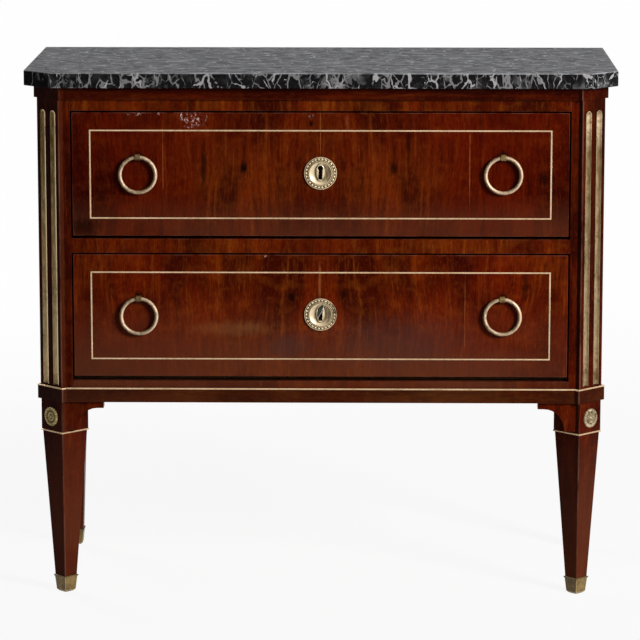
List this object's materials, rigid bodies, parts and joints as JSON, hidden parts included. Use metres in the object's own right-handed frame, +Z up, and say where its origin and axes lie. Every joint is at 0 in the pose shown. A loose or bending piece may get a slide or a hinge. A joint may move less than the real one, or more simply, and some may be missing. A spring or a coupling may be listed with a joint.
{
  "type": "commode chest",
  "caption": "Chest of drawers with a marble top, canted fluted corner posts, tapered legs, inlaid brass lines, ring pulls and round keyhole plates.",
  "frame": {"origin": "on the floor under the middle of the marble slab", "axes": "+X to the right seen from the front, +Y to the back, +Z up"},
  "size_m": [0.92, 0.41, 0.832],
  "materials": {
    "mahogany": "French-polished figured mahogany veneer, glossy",
    "pine": "bare aged pine",
    "brass": "old satin brass, slightly tarnished",
    "marble": "polished dark grey marble with pale veins",
    "lock_iron": "dull wrought iron"
  },
  "bodies": {
    "case": {"marble_top": "marble", "frieze_moulding": "mahogany", "plinth_moulding": "mahogany", "plinth_brass_strip": "brass", "front_leg_left": "mahogany", "front_leg_right": "mahogany", "bracket_left": "mahogany", "bracket_right": "mahogany", "collar_front_left": "brass", "collar_front_right": "brass", "foot_cap_front_left": "brass", "foot_cap_front_right": "brass", "flute_lining_left_outer": "brass", "flute_lining_left_inner": "brass", "flute_lining_right_outer": "brass", "flute_lining_right_inner": "brass", "rosette_left": "brass", "rosette_right": "brass", "back_leg_left": "mahogany", "back_leg_right": "mahogany", "collar_back_left": "brass", "collar_back_right": "brass", "foot_cap_back_left": "brass", "foot_cap_back_right": "brass", "side_panel_left": "mahogany", "side_panel_right": "mahogany", "back_panel": "pine", "top_rail": "mahogany", "middle_rail": "mahogany", "bottom_rail": "mahogany", "dust_board": "pine", "bottom_board": "pine", "top_board": "pine"},
    "upper_drawer": {"upper_drawer_front": "mahogany", "upper_drawer_string": "brass", "upper_drawer_side_left": "pine", "upper_drawer_side_right": "pine", "upper_drawer_back": "pine", "upper_drawer_bottom": "pine", "upper_escutcheon": "brass", "upper_lock_case": "lock_iron", "upper_pull_eye_left": "brass", "upper_pull_eye_right": "brass"},
    "upper_bolt": {"upper_lock_bolt": "lock_iron"},
    "upper_ring_left": {"upper_ring_left": "brass"},
    "upper_ring_right": {"upper_ring_right": "brass"},
    "lower_drawer": {"lower_drawer_front": "mahogany", "lower_drawer_string": "brass", "lower_drawer_side_left": "pine", "lower_drawer_side_right": "pine", "lower_drawer_back": "pine", "lower_drawer_bottom": "pine", "lower_escutcheon": "brass", "lower_lock_case": "lock_iron", "lower_pull_eye_left": "brass", "lower_pull_eye_right": "brass"},
    "lower_bolt": {"lower_lock_bolt": "lock_iron"},
    "lower_ring_left": {"lower_ring_left": "brass"},
    "lower_ring_right": {"lower_ring_right": "brass"}
  },
  "joints": [
    {"name": "upper_drawer_slide", "type": "slide", "parent": "case", "child": "upper_drawer", "axis": [0, -1, 0], "range_m": [0, 0.26]},
    {"name": "upper_bolt_throw", "type": "slide", "parent": "upper_drawer", "child": "upper_bolt", "axis": [0, 0, 1], "range_m": [0, 0.008]},
    {"name": "upper_ring_left_swing", "type": "hinge", "parent": "upper_drawer", "child": "upper_ring_left", "pos_m": [-0.283, -0.1895, 0.6995], "axis": [-1, 0, 0], "range_deg": [-3, 183]},
    {"name": "upper_ring_right_swing", "type": "hinge", "parent": "upper_drawer", "child": "upper_ring_right", "pos_m": [0.283, -0.1895, 0.6995], "axis": [-1, 0, 0], "range_deg": [-3, 183]},
    {"name": "lower_drawer_slide", "type": "slide", "parent": "case", "child": "lower_drawer", "axis": [0, -1, 0], "range_m": [0, 0.26]},
    {"name": "lower_bolt_throw", "type": "slide", "parent": "lower_drawer", "child": "lower_bolt", "axis": [0, 0, 1], "range_m": [0, 0.008]},
    {"name": "lower_ring_left_swing", "type": "hinge", "parent": "lower_drawer", "child": "lower_ring_left", "pos_m": [-0.283, -0.1895, 0.4775], "axis": [-1, 0, 0], "range_deg": [-3, 183]},
    {"name": "lower_ring_right_swing", "type": "hinge", "parent": "lower_drawer", "child": "lower_ring_right", "pos_m": [0.283, -0.1895, 0.4775], "axis": [-1, 0, 0], "range_deg": [-3, 183]}
  ]
}
